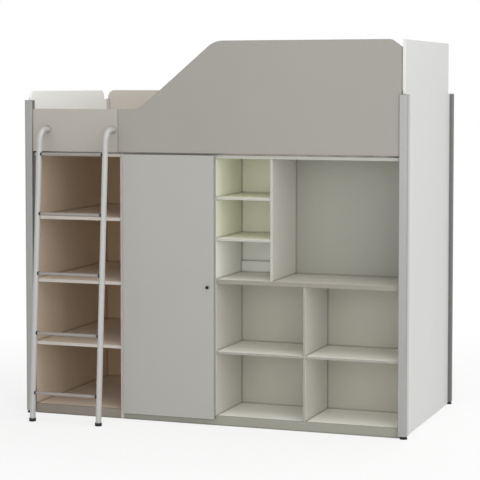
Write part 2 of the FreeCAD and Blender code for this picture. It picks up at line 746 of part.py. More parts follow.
def ladder_rail(label, x):
    rail = new_body(label)
    path = new_sketch(rail, "YZ_Plane")
    straight = number(straight_length)
    bend = number("size.bend")
    angle = math.radians(number(turn))
    bend_start = FreeCAD.Vector(0, straight, 0)
    bend_end = FreeCAD.Vector(bend - bend * math.cos(angle), straight + bend * math.sin(angle), 0)
    tip = bend_end + FreeCAD.Vector(math.sin(angle), math.cos(angle), 0) * number(hook_length)
    round_part = Part.Circle(FreeCAD.Vector(bend, straight, 0), FreeCAD.Vector(0, 0, 1), bend)
    path.addGeometry(Part.LineSegment(FreeCAD.Vector(0, 0, 0), bend_start), False)
    path.addGeometry(Part.ArcOfCircle(round_part, math.pi - angle, math.pi), False)
    path.addGeometry(Part.LineSegment(bend_end, tip), False)
    path.addConstraint(Sketcher.Constraint("Coincident", 0, 1, -1, 1))
    path.addConstraint(Sketcher.Constraint("Vertical", 0))
    path.addConstraint(Sketcher.Constraint("Tangent", 0, 2, 1, 2))
    path.addConstraint(Sketcher.Constraint("Tangent", 1, 1, 2, 1))
    set_length(path, Sketcher.Constraint("Distance", 0, straight), straight_length)
    set_length(path, Sketcher.Constraint("Radius", 1, bend), "size.bend")
    set_length(path, Sketcher.Constraint("Distance", 2, number(hook_length)), hook_length)
    set_length(path, Sketcher.Constraint("Angle", 2, math.radians(number(lean))), lean)
    ring = circles(rail, "XY_Plane", ["size.tube", "size.tube - 2 * size.tube_wall"])
    pipe = rail.newObject("PartDesign::AdditivePipe", label + "_pipe")
    pipe.Profile = ring
    pipe.Spine = (path, ["Edge1", "Edge2", "Edge3"])
    doc.recompute()
    lean_over(rail)
    return keep(place(rail, x, foot_y, "size.shoe_floor"), label)


def oval_bar(label, x, length, y, z, depth, height, rounding):
    """Bar along X with an oval section, its middle line at y and z."""
    bar = new_body(label)
    pad(bar, outline(bar, "YZ_Plane", [
        (f"-({depth}) / 2", f"-({height}) / 2"), (f"({depth}) / 2", f"-({height}) / 2"),
        (f"({depth}) / 2", f"({height}) / 2"), (f"-({depth}) / 2", f"({height}) / 2"),
    ]), length)
    round_edges(bar, rounding, lambda start, end: abs(start.x - end.x) > 1)
    return place(bar, x, y, z)


left_rail_x = f"(size.ladder_offset - {post_inner})"
right_rail_x = f"({seam_place} - size.ladder_margin)"
ladder_rail("ladder_left_rail", left_rail_x)
ladder_rail("ladder_right_rail", right_rail_x)

rungs = []
collars = []
rung_pitch = f"(({hook_height} - size.rung_top_gap - size.rung_first) / {rung_count - 1})"
rung_round = "((size.rung_height - size.rung_flat) / 2)"
collar_face = f"({left_rail_x} + size.tube / 2 + size.collar)"
for index in range(rung_count):
    rung_z = f"(size.rung_first + {index} * {rung_pitch})"
    rung_y = f"({foot_y} + ({rung_z} - size.shoe_floor) * tan({lean}))"
    rungs.append(oval_bar(f"rung_{index + 1}", collar_face,
                          f"{right_rail_x} - {left_rail_x} - size.tube - 2 * size.collar",
                          rung_y, rung_z, "size.rung_depth", "size.rung_height", rung_round))
    collar_ends = (("left", f"{collar_face} - size.collar - size.collar_sink", left_rail_x),
                   ("right", f"{right_rail_x} - size.tube / 2 - size.collar", right_rail_x))
    for end, start, rail_x in collar_ends:
        name = f"{end}_collar_{index + 1}"
        blank = oval_bar(f"{name}_blank", start, "size.collar + size.collar_sink", rung_y, rung_z,
                         "size.rung_depth + 2 * size.collar_rim", "size.rung_height + 2 * size.collar_rim",
                         f"{rung_round} + size.collar_rim")
        saddle = rod(f"{name}_saddle", "size.tube + 2 * size.cup_fit", rung_pitch,
                     FreeCAD.Vector(0, 0, 1), rail_x,
                     f"{rung_y} - {rung_pitch} / 2 * sin({lean})",
                     f"{rung_z} - {rung_pitch} / 2 * cos({lean})")
        lean_over(saddle)
        collars.append(cut(name, blank, saddle))
group("ladder_rungs", rungs)
group("rung_collars", collars)

shoes = []
fixings = []
entry_holes = []
along_y = FreeCAD.Vector(0, 1, 0)
for end, rail_x in (("left", left_rail_x), ("right", right_rail_x)):
    blank = rod(f"{end}_shoe_blank", shoe, "size.shoe_height",
                FreeCAD.Vector(0, 0, 1), rail_x, foot_y, "0")
    socket = rod(f"{end}_shoe_socket", "size.tube + 2 * size.cup_fit", "size.shoe_height * 2",
                 FreeCAD.Vector(0, 0, 1), rail_x, foot_y, "size.shoe_floor")
    shoes.append(cut(f"{end}_shoe", blank, lean_over(socket)))

    bolt_start = f"({guard_front} - size.plug_length)"
    plug_blank = rod(f"{end}_plug_blank", "size.tube - 2 * size.tube_wall - 2 * size.cup_fit",
                     "size.plug_length", along_y, rail_x, bolt_start, hook_height)
    plug_bore = rod(f"{end}_plug_bore", "size.bolt + 2 * size.cup_fit", "size.plug_length",
                    along_y, rail_x, bolt_start, hook_height)
    fixings.append(cut(f"{end}_plug", plug_blank, plug_bore))
    shank = rod(f"{end}_shank", "size.bolt", "size.plug_length + size.guard", along_y,
                rail_x, bolt_start, hook_height)
    head = rod(f"{end}_head", "size.bolt_head", "size.bolt_head_height", along_y,
               rail_x, guard_rear, hook_height)
    fixings.append(fuse(f"{end}_bolt", [shank, head]))
    entry_holes.append(rod(f"{end}_bolt_hole", "size.bolt + 2 * size.cup_fit", "size.guard", along_y,
                           rail_x, guard_front, hook_height))
group("ladder_shoes", shoes)
group("ladder_fixings", fixings)

# Low entry board, drilled for the two ladder bolts.
entry_blank = board("entry_blank", (f"-{post_inner} - size.groove_depth", seam_place),
                    (guard_front, guard_rear), (guard_bottom, entry_top))
keep(cut("front_low_board", entry_blank, fuse("entry_drilling", entry_holes)), "front_low_board")

doc.recompute()
for item in doc.Objects:
    if {"Invalid", "Error"} & set(item.State):
        raise RuntimeError(f"{item.Label} did not build")
for item in parts:
    if item.Shape.isNull() or not item.Shape.isValid():
        raise RuntimeError(f"{item.Label} has no valid shape")

os.makedirs("parts", exist_ok=True)
for item in parts:
    item.Shape.exportStep(f"parts/{item.Label}.step")
print(f"{len(parts)} sub-parts written")
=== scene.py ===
import json
import math

import bmesh
import bpy
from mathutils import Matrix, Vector

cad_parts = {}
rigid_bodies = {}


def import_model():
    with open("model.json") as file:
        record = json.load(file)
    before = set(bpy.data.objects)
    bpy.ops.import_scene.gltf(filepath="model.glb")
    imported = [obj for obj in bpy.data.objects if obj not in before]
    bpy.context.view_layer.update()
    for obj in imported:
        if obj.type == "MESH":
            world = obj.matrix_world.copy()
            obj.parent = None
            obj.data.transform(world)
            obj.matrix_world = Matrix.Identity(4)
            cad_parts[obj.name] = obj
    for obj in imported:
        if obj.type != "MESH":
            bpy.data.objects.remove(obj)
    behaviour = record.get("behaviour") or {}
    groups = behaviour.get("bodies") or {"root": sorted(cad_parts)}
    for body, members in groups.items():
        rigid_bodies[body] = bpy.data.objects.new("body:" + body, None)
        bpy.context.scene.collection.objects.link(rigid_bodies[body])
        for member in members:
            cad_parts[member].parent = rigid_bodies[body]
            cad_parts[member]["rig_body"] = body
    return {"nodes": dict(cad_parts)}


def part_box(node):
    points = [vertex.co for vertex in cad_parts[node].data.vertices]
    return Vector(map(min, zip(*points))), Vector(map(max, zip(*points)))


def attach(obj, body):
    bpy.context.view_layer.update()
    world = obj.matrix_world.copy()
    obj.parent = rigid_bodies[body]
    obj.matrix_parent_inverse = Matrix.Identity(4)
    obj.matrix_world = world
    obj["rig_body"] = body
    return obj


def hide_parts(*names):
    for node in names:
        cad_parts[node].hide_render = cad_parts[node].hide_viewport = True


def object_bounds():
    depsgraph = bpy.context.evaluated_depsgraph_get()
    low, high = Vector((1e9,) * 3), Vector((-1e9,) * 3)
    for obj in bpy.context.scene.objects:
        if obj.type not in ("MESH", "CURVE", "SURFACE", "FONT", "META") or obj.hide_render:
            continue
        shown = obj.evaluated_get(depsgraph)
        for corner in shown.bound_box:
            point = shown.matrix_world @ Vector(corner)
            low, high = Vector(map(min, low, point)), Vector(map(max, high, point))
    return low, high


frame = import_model()
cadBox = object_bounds()
nodes = frame["nodes"]
bedDepth = 1.0
front = cadBox[1][1] - bedDepth  # plane of the posts' front faces
scene = bpy.context.scene
scene.view_settings.view_transform = "Standard"
print("frame loaded:", len(nodes), "nodes")


# node graphs
class Wire:
    # one socket's value; sums on it add Math nodes

    def __init__(self, graph, socket):
        self.graph = graph
        self.socket = socket

    def calc(self, operation, first, second):
        return self.graph.add("ShaderNodeMath", {"operation": operation}, {0: first, 1: second})

    def __add__(self, other):
        return self.calc("ADD", self, other)

    def __radd__(self, other):
        return self.calc("ADD", other, self)

    def __sub__(self, other):
        return self.calc("SUBTRACT", self, other)

    def __rsub__(self, other):
        return self.calc("SUBTRACT", other, self)

    def __mul__(self, other):
        return self.calc("MULTIPLY", self, other)

    def __rmul__(self, other):
        return self.calc("MULTIPLY", other, self)

    def above(self, edge):
        return self.calc("GREATER_THAN", self, edge)


class Graph:
    def __init__(self, tree):
        self.tree = tree

    def add(self, kind, settings=None, inputs=None, output=0):
        node = self.tree.nodes.new(kind)
        for key, value in (settings or {}).items():
            if key == "stops":
                self.setStops(node.color_ramp, value)
            else:
                setattr(node, key, value)
        for key, value in (inputs or {}).items():
            self.feed(node.inputs[key], value)
        return Wire(self, node.outputs[output])

    def feed(self, socket, value):
        if isinstance(value, Wire):
            self.tree.links.new(value.socket, socket)
        else:
            socket.default_value = value

    def setStops(self, ramp, stops):
        while len(ramp.elements) < len(stops):
            ramp.elements.new(0.5)
        for element, (position, colour) in zip(ramp.elements, stops):
            element.position = position
            element.color = (*colour, 1.0)

    def seenRays(self):
        # 1 for rays from the camera, straight or by way of metal and glass
        kinds = ("Is Camera Ray", "Is Glossy Ray", "Is Transmission Ray")
        straight, glossy, through = [self.add("ShaderNodeLightPath", output=kind) for kind in kinds]
        return straight + glossy + through


def shade(colour, factor):
    return tuple(min(1.0, max(0.0, c * factor)) for c in colour)


class Finish(Graph):
    # a procedural material on Object coordinates, made from one look
    fixed = {"Roughness": "roughness", "Metallic": "metal", "Specular IOR Level": "gloss",
             "Sheen Weight": "sheen", "Sheen Roughness": "sheenRough"}
    # reach and samples of the painted shade where boards meet
    occlusionShadeReach = 0.011
    occlusionShadeSamples = 4

    def __init__(self, name, look):
        self.material = bpy.data.materials.new(name)
        self.material.use_nodes = True
        super().__init__(self.material.node_tree)
        self.look = look
        self.shader = self.tree.nodes["Principled BSDF"]
        for socket, key in self.fixed.items():
            if key in look:
                self.shader.inputs[socket].default_value = look[key]
        self.place = self.add("ShaderNodeTexCoord", output="Object")

    def noise(self, label):
        sizes = self.look[label]
        where = self.place
        if "stretch" in sizes:
            where = self.add("ShaderNodeMapping", None, {"Vector": self.place, "Scale": sizes["stretch"]})
        values = {"Vector": where, "Scale": sizes["scale"], "Detail": sizes["detail"]}
        return self.add("ShaderNodeTexNoise", None, values, "Fac")

    def rounded(self):
        return self.add("ShaderNodeAttribute", {"attribute_name": "rounded"}, None, "Fac")

    def occlusionShade(self):
        # painted shade where boards meet, from ambient occlusion: 0 in the open, about 0.5 in a corner
        settings = {"samples": self.occlusionShadeSamples, "only_local": False}
        return 1.0 - self.add("ShaderNodeAmbientOcclusion", settings, {"Distance": self.occlusionShadeReach}, "AO")

    def along(self, axis):
        return self.add("ShaderNodeSeparateXYZ", None, {"Vector": self.place}, axis)

    def within(self, limits):
        # 1 between the limits on each axis, else 0
        mask = 1.0
        for axis, (least, most) in limits.items():
            place = self.along(axis)
            mask = mask * place.above(least) * (1.0 - place.above(most))
        return mask

    def depth(self, start, end):
        # rises from 0 to 1 towards the rear
        values = {"Value": self.along("Y"), "From Min": start, "From Max": end}
        return self.add("ShaderNodeMapRange", None, values)

    def blend(self, factor, first, second):
        # a colour Mix: 6 and 7 are its colour inputs, 2 its colour output
        colours = [c if isinstance(c, Wire) else (*c, 1.0) for c in (first, second)]
        settings = {"data_type": "RGBA", "clamp_factor": True}
        return self.add("ShaderNodeMix", settings, {0: factor, 6: colours[0], 7: colours[1]}, 2)

    def tinted(self, tone, colour):
        dark, pale = self.look["tones"]
        return self.blend(tone, shade(colour, dark), shade(colour, pale))

    def painted(self, tone):
        # the look's own colour, then its zones over it
        colour = self.tinted(tone, self.look["colour"])
        for area in self.look.get("zones", []):
            other = self.tinted(tone, area["colour"])
            mask = self.within(area["limits"])
            if area["ramp"]:
                mask = mask * self.depth(*area["ramp"])
            colour = self.blend(mask, colour, other)
        return colour

    def wear(self, colour, roughness, bump):
        self.feed(self.shader.inputs["Base Color"], colour)
        self.feed(self.shader.inputs["Roughness"], roughness)
        values = {"Height": bump, "Distance": self.look["height"], "Strength": self.look["strength"]}
        self.feed(self.shader.inputs["Normal"], self.add("ShaderNodeBump", None, values, "Normal"))
        return self.material


middle = 0.5  # mean of a noise, and of the tone that it shifts


def swing(noise, amount):
    return (noise - middle) * amount


# matt laminate: slow drift of tone, fine pearl grain, hand smears, rounded edges paler from wear and darker
# as painted shade where a look sets it, painted shade where boards meet
laminateBase = {
    "driftNoise": {"scale": 1.7, "detail": 3.0},
    "pearlNoise": {"scale": 560.0, "detail": 3.0},
    "fleckNoise": {"scale": 1500.0, "detail": 1.0},
    "smearNoise": {"scale": 5.0, "detail": 4.0, "stretch": (1.0, 1.0, 0.35)},
    "gloss": 0.4, "tones": (0.9, 1.1), "rub": 0.25, "smearEdgeWearAndShade": 0.5, "corner": 1.16,
    "occlusionShade": 1.1, "cornerShade": 0.30, "pearlRough": 0.16, "smearRough": 0.14,
    "fleckBump": 0.4, "height": 0.00025, "strength": 0.25,
}


def laminate(name, own):
    look = {**laminateBase, **own}
    finish = Finish(name, look)
    drift = finish.noise("driftNoise")
    pearl = finish.noise("pearlNoise")
    fleck = finish.noise("fleckNoise")
    smear = finish.noise("smearNoise")
    tone = middle + swing(drift, look["drift"]) + swing(fleck, look["fleck"])
    colour = finish.painted(tone)
    # rounded edges: paler as wear, and darker as painted shade where a look's corner factor is below 1
    rub = finish.rounded() * (look["rub"] + look["smearEdgeWearAndShade"] * smear)
    colour = finish.blend(rub, colour, shade(look["colour"], look["corner"]))
    # painted shade: darker where boards meet, from ambient occlusion
    cornerShade = finish.occlusionShade() * look["occlusionShade"]
    colour = finish.blend(cornerShade, colour, shade(look["colour"], look["cornerShade"]))
    roughness = look["roughness"] + swing(pearl, look["pearlRough"]) - swing(smear, look["smearRough"])
    return finish.wear(colour, roughness, pearl + look["fleckBump"] * fleck)


# drawn aluminium: die lines along the post, a soft satin sheen
anodisedBase = {
    "lineNoise": {"scale": 1.0, "detail": 3.0, "stretch": (1400.0, 1400.0, 2.5)},
    "broadNoise": {"scale": 1.0, "detail": 2.0, "stretch": (90.0, 90.0, 0.8)},
    "cloudNoise": {"scale": 6.0, "detail": 3.0},
    "metal": 0.6, "tones": (0.84, 1.14), "lineTone": 0.7, "broadTone": 0.6, "cloudTone": 0.35,
    "lineRough": 0.22, "cloudRough": 0.08, "height": 0.0002, "strength": 0.3,
}


def anodised(name, own):
    look = {**anodisedBase, **own}
    finish = Finish(name, look)
    lines = finish.noise("lineNoise")
    broad = finish.noise("broadNoise")
    cloud = finish.noise("cloudNoise")
    tone = middle + swing(lines, look["lineTone"]) + swing(broad, look["broadTone"])
    colour = finish.painted(tone + swing(cloud, look["cloudTone"]))
    roughness = look["roughness"] + swing(lines, look["lineRough"]) + swing(cloud, look["cloudRough"])
    return finish.wear(colour, roughness, lines)


# sprayed paint: orange peel, light scuffs, a pale sheen towards the outline
sprayBase = {
    "peelNoise": {"scale": 420.0, "detail": 2.0},
    "cloudNoise": {"scale": 3.0, "detail": 3.0},
    "scuffNoise": {"scale": 38.0, "detail": 5.0, "stretch": (1.0, 1.0, 0.2)},
    "tones": (0.95, 1.04), "cloudTone": 0.5, "peelTone": 0.25,
    "scuffEdge": 0.66, "scuffTone": 0.25, "scuffShade": 0.88,
    "peelRough": 0.12, "scuffRough": 0.12, "height": 0.0004, "strength": 0.22,
}


def powderCoat(name, own):
    look = {**sprayBase, **own}
    finish = Finish(name, look)
    peel = finish.noise("peelNoise")
    cloud = finish.noise("cloudNoise")
    scuff = finish.noise("scuffNoise").above(look["scuffEdge"])
    colour = finish.painted(middle + swing(cloud, look["cloudTone"]) + swing(peel, look["peelTone"]))
    colour = finish.blend(scuff * look["scuffTone"], colour, shade(look["colour"], look["scuffShade"]))
    roughness = look["roughness"] + swing(peel, look["peelRough"]) + scuff * look["scuffRough"]
    return finish.wear(colour, roughness, peel)


# moulded plastic with spark-eroded grain
mouldedBase = {
    "grainNoise": {"scale": 1300.0, "detail": 4.0},
    "cloudNoise": {"scale": 22.0, "detail": 3.0},
    "tones": (0.75, 1.3), "grainTone": 0.9, "cloudTone": 0.5, "rub": 0.5, "corner": 1.8,
    "grainRough": 0.3, "height": 0.0003, "strength": 0.35,
}


def moulded(name, own):
    look = {**mouldedBase, **own}
    finish = Finish(name, look)
    grain = finish.noise("grainNoise")
    cloud = finish.noise("cloudNoise")
    colour = finish.painted(middle + swing(grain, look["grainTone"]) + swing(cloud, look["cloudTone"]))
    colour = finish.blend(finish.rounded() * look["rub"], colour, shade(look["colour"], look["corner"]))
    return finish.wear(colour, look["roughness"] + swing(grain, look["grainRough"]), grain)


# zinc or chrome plate: crystal cells, faint drag marks
platedBase = {
    "dragNoise": {"scale": 1.0, "detail": 2.0, "stretch": (60.0, 900.0, 900.0)},
    "metal": 1.0, "tones": (0.82, 1.12), "dragTone": 0.4, "cellRough": 0.1, "dragRough": 0.1,
    "height": 0.0001, "strength": 0.15,
}


def plated(name, own):
    look = {**platedBase, **own}
    finish = Finish(name, look)
    values = {"Vector": finish.place, "Scale": look["cells"]}
    cells = finish.add("ShaderNodeTexVoronoi", None, values, "Color")
    cell = finish.add("ShaderNodeSeparateColor", None, {"Color": cells}, "Red")
    drag = finish.noise("dragNoise")
    colour = finish.painted(middle + swing(cell, look["spangle"]) + swing(drag, look["dragTone"]))
    roughness = look["roughness"] + swing(cell, look["cellRough"]) + swing(drag, look["dragRough"])
    return finish.wear(colour, roughness, drag)


# lacquered birch; grain gives the stretch along the fibres and across them
birchBase = {
    "bandNoise": {"scale": 1.0, "detail": 4.0, "grain": (2.2, 55.0)},
    "fibreNoise": {"scale": 1.0, "detail": 2.0, "grain": (9.0, 700.0)},
    "cloudNoise": {"scale": 2.3, "detail": 2.0},
    "stops": [(0.30, (0.50, 0.36, 0.22)), (0.48, (0.66, 0.51, 0.33)), (0.70, (0.58, 0.43, 0.27))],
    # deep: the colour of the painted shade where the rails meet other pieces
    "light": (0.70, 0.55, 0.37), "dark": (0.42, 0.28, 0.16), "deep": (0.09, 0.08, 0.07),
    "cloudShift": 0.3, "fibreTone": 0.35, "rub": 0.3, "occlusionShade": 1.6,
    "roughness": 0.42, "fibreRough": 0.2, "bandBump": 0.5, "height": 0.0003, "strength": 0.25,
}


def birch(name, own):
    look = {**birchBase, **own}
    for label in ("bandNoise", "fibreNoise"):
        lengthways, across = look[label]["grain"]
        stretch = [lengthways if axis == look["along"] else across for axis in "xyz"]
        look[label] = {**look[label], "stretch": stretch}
    finish = Finish(name, look)
    bands = finish.noise("bandNoise")
    fibres = finish.noise("fibreNoise")
    cloud = finish.noise("cloudNoise")
    rings = bands + swing(cloud, look["cloudShift"])
    colour = finish.add("ShaderNodeValToRGB", {"stops": look["stops"]}, {0: rings})
    colour = finish.blend(fibres * look["fibreTone"], colour, look["dark"])
    colour = finish.blend(finish.rounded() * look["rub"], colour, look["light"])
    # painted shade: darker where the rails meet other pieces, from ambient occlusion
    colour = finish.blend(finish.occlusionShade() * look["occlusionShade"], colour, look["deep"])
    roughness = look["roughness"] + swing(fibres, look["fibreRough"])
    return finish.wear(colour, roughness, fibres + look["bandBump"] * bands)


# zones: parts of a board or post with a colour set by place in the bed; most are painted light and painted
# shade
far = 3.0  # past every piece


def zone(colour, x=None, y=None, z=None, ramp=None):
    limits = {axis: pair for axis, pair in zip("XYZ", (x, y, z)) if pair}
    return {"colour": colour, "limits": limits, "ramp": ramp}


unitDepth = (-far, front + 0.405)
cubbyWidth, cubbyRise, bottomCubbyRise = (0.030, 0.318), (0.930, 1.340), (0.721, 0.930)
# painted light: inside the upper and lower cubbies, on the desk in the lower cubby and under the desk,
# boards are painted paler to stand in for light there; the upper cubbies are also yellower
cubbyTintAndPaintedLight = zone((0.870, 0.870, 0.735), cubbyWidth, unitDepth, cubbyRise)
lowCubbyPaintedLight = zone((0.930, 0.920, 0.850), cubbyWidth, unitDepth, bottomCubbyRise)
cubbyFloor = zone((0.780, 0.765, 0.700), cubbyWidth, unitDepth, bottomCubbyRise)
underDesk = zone((0.535, 0.525, 0.455), (0.030, 0.970), unitDepth, (-far, 0.721))

bayWidth = (-far, -0.47)
underLid, overLid = (-far, 1.3475), (1.3475, far)  # below and above the tops' upper faces
# painted shade: the upper faces of the bay and wardrobe tops are dark grey, standing in for the shade in
# the gap under the guard boards
bayLidPaintedShade = zone((0.270, 0.268, 0.258), bayWidth, z=overLid)
unitLidPaintedShade = zone((0.220, 0.220, 0.210), (-0.47, 0.024), z=overLid)
# painted light: the bay's walls and floors grow paler towards the rear, standing in for light that reaches
# deep into the bay
bayRamp = (front + 0.40, front + 0.92)
bayWallRear = zone((0.970, 0.800, 0.620), bayWidth, z=underLid, ramp=bayRamp)
bayFloorRear = zone((0.950, 0.810, 0.660), bayWidth, z=underLid, ramp=bayRamp)
bayInside = zone((0.740, 0.570, 0.400), bayWidth, (-far, front + 0.926))

whiteSkin = {"roughness": 0.46, "drift": 0.25, "fleck": 0.12, "occlusionShade": 0.3}
guardSkin = {"roughness": 0.55, "drift": 0.35, "fleck": 0.22}
baySkin = {"roughness": 0.58, "drift": 0.40, "fleck": 0.26}
unitSkin = {"roughness": 0.56, "drift": 0.30, "fleck": 0.20}
plinthSkin = {"roughness": 0.52, "drift": 0.30, "fleck": 0.20}
edgeBand = {"roughness": 0.44, "drift": 0.20, "fleck": 0.10}
boardLooks = {
    "endWhite": {**whiteSkin, "colour": (0.715, 0.715, 0.700)},
    # painted light: the same white board as endWhite, painted paler because its inner face gets less light
    "leftWhite": {**whiteSkin, "colour": (0.880, 0.905, 0.895)},
    # painted shade: the guard's rounded edges are darker than its face (corner below 1), as a dark outline
    "guardGrey": {**guardSkin, "colour": (0.342, 0.327, 0.294), "corner": 0.55, "occlusionShade": 0.5},
    "entryGrey": {**guardSkin, "colour": (0.430, 0.408, 0.365)},
    "rearBeige": {**guardSkin, "colour": (0.640, 0.605, 0.560), "occlusionShade": 0.3},
    "doorGrey": {"colour": (0.410, 0.406, 0.382), "roughness": 0.50, "drift": 0.30, "fleck": 0.18},
    # painted light: the bay's walls and floors are one taupe laminate, given separate tones to stand in for
    # the light each gets
    "bayTaupe": {**baySkin, "colour": (0.670, 0.560, 0.445), "zones": [bayWallRear, bayLidPaintedShade]},
    "bayBack": {**baySkin, "colour": (0.440, 0.415, 0.375), "zones": [bayInside]},
    "bayFloor": {**baySkin, "colour": (0.720, 0.620, 0.520), "zones": [bayFloorRear]},
    "bayEdge": {**edgeBand, "colour": (0.590, 0.545, 0.500), "roughness": 0.45, "occlusionShade": 0.5},
    # painted light: the unit boards are one cream laminate; walls, shelves, floor, desk and back get
    # separate tones, the inner faces paler than the lit front edges, and paleEdge and wallEdge paler than
    # unitEdge, to stand in for light and shade
    "unitWall": {**unitSkin, "colour": (0.650, 0.636, 0.580), "zones": [cubbyTintAndPaintedLight, lowCubbyPaintedLight, unitLidPaintedShade]},
    "unitShelf": {**unitSkin, "colour": (0.880, 0.868, 0.785), "zones": [cubbyTintAndPaintedLight, lowCubbyPaintedLight]},
    "unitFloor": {**unitSkin, "colour": (0.950, 0.940, 0.860), "drift": 0.25, "fleck": 0.16},
    "deskCream": {**unitSkin, "colour": (0.600, 0.580, 0.520), "roughness": 0.50, "zones": [cubbyFloor]},
    "unitBack": {**unitSkin, "colour": (0.405, 0.402, 0.350), "drift": 0.35, "fleck": 0.22,
                 "zones": [cubbyTintAndPaintedLight, lowCubbyPaintedLight, underDesk]},
    "unitEdge": {**edgeBand, "colour": (0.345, 0.335, 0.295)},
    "paleEdge": {**edgeBand, "colour": (0.480, 0.485, 0.440), "roughness": 0.40},
    "wallEdge": {**edgeBand, "colour": (0.520, 0.515, 0.460), "occlusionShade": 0.3},
    "deskEdge": {**edgeBand, "colour": (0.290, 0.275, 0.235)},
    "plinthGrey": {**plinthSkin, "colour": (0.315, 0.310, 0.262)},
    "plinthTaupe": {**plinthSkin, "colour": (0.265, 0.235, 0.198)},
}

# painted light and shade: the posts are one aluminium; outer side faces are painted paler, the rear posts
# paler with the rear left's upper part more so, and the rear right post's outer face dark as painted shade
outerPaintedLight = (0.55, 0.55, 0.54)
clearOfRear = (-far, front + 0.999)  # all but the posts' rear faces
postLooks = {
    "postSilver": {"colour": (0.33, 0.33, 0.32), "roughness": 0.46,
                   "zones": [zone(outerPaintedLight, (-far, -1.0095)), zone(outerPaintedLight, (1.0095, far))]},
    "postRearLeft": {"colour": (0.42, 0.42, 0.41), "roughness": 0.48,
                     "zones": [zone((0.58, 0.56, 0.53), (-1.005, far), clearOfRear, (1.45, far))]},
    "postRearRight": {"colour": (0.42, 0.42, 0.41), "roughness": 0.48,
                      "zones": [zone((0.19, 0.19, 0.185), (0.994, far), clearOfRear)]},
}
paintLooks = {
    "ladderWhite": {"colour": (0.47, 0.47, 0.455), "roughness": 0.32, "sheen": 0.8, "sheenRough": 0.15},
    # painted shade: the rungs are the ladder's paint, painted darker and warmer than the rails to stand in
    # for their shade and a painted brown reflection from the bay
    "rungGrey": {"colour": (0.292, 0.268, 0.246), "roughness": 0.36, "sheen": 0.3, "sheenRough": 0.15},
}
plateLooks = {
    "zincPlate": {"colour": (0.60, 0.61, 0.62), "roughness": 0.34, "cells": 240.0, "spangle": 0.8},
    "chromePlate": {"colour": (0.72, 0.72, 0.73), "roughness": 0.12, "cells": 900.0, "spangle": 0.2},
}
plasticLooks = {
    "capGrey": {"colour": (0.30, 0.305, 0.305), "roughness": 0.5, "gloss": 0.25},
    "blackPlastic": {"colour": (0.018, 0.018, 0.019), "roughness": 0.48, "gloss": 0.25},
    "knobBlack": {"colour": (0.004, 0.004, 0.004), "roughness": 0.55, "gloss": 0.10},
}
birchLooks = {"slatBirch": {"along": "y"}, "railBirch": {"along": "x"}, "endRailBirch": {"along": "y"}}

makers = [(laminate, boardLooks), (anodised, postLooks), (powderCoat, paintLooks), (plated, plateLooks),
          (moulded, plasticLooks), (birch, birchLooks)]
finishes = {name: make(name, look) for make, looks in makers for name, look in looks.items()}
print("finishes made:", len(finishes))


# boards and solids: merged copies of the model's pieces with eased corners
def newPiece(name, mesh):
    piece = bpy.data.objects.new(name, mesh)
    scene.collection.objects.link(piece)
    return piece


def plainMesh(piece, name):
    # the evaluated shape as a plain mesh, with no modifier left
    bpy.context.view_layer.update()
    depsgraph = bpy.context.evaluated_depsgraph_get()
    shape = piece.evaluated_get(depsgraph)
    mesh = bpy.data.meshes.new_from_object(shape, preserve_all_data_layers=True, depsgraph=depsgraph)
    mesh.name = name
    return mesh


def seat(piece, body, slotName, *standsFor):
    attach(piece, body)
    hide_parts(*standsFor)


easeLook = {"merge": 0.00001, "flatAngle": 0.4, "cornerAngle": 32.0, "steps": 2, "faceOn": 0.9}


def easedMesh(nodeName, easing):
    flat = math.radians(easeLook["flatAngle"])
    sharp = math.radians(easeLook["cornerAngle"])
    shape = bmesh.new()
    shape.from_mesh(nodes[nodeName].data)
    bmesh.ops.remove_doubles(shape, verts=shape.verts[:], dist=easeLook["merge"])
    bmesh.ops.dissolve_limit(shape, angle_limit=flat, verts=shape.verts[:], edges=shape.edges[:])
    corners = [e for e in shape.edges if e.is_manifold and e.calc_face_angle(0.0) > sharp]
    layer = shape.faces.layers.float.new("rounded")
    made = bmesh.ops.bevel(shape, geom=corners, offset=easing, offset_type="OFFSET",
                           segments=easeLook["steps"], profile=0.5, affect="EDGES", clamp_overlap=True)
    for face in made["faces"]:
        face[layer] = 1.0
    for face in shape.faces:
        face.smooth = True
    return shape


def dress(nodeName, coat):
    shape = easedMesh(nodeName, coat["easing"])
    low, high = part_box(nodeName)
    sizes = high - low
    thin = min(range(3), key=lambda axis: sizes[axis])
    if "edge" in coat:
        for face in shape.faces:
            face.material_index = 0 if abs(face.normal[thin]) > easeLook["faceOn"] else 1
    mesh = bpy.data.meshes.new(nodeName + "_shape")
    shape.to_mesh(mesh)
    shape.free()
    for part in ("face", "edge"):
        if part in coat:
            mesh.materials.append(finishes[coat[part]])
    piece = newPiece(nodeName + "_dressed", mesh)
    piece.modifiers.new("evenNormals", "WEIGHTED_NORMAL").keep_sharp = False
    piece.data = plainMesh(piece, nodeName + "_mesh")
    piece.modifiers.clear()
    seat(piece, nodes[nodeName]["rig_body"], coat["slot"], nodeName)


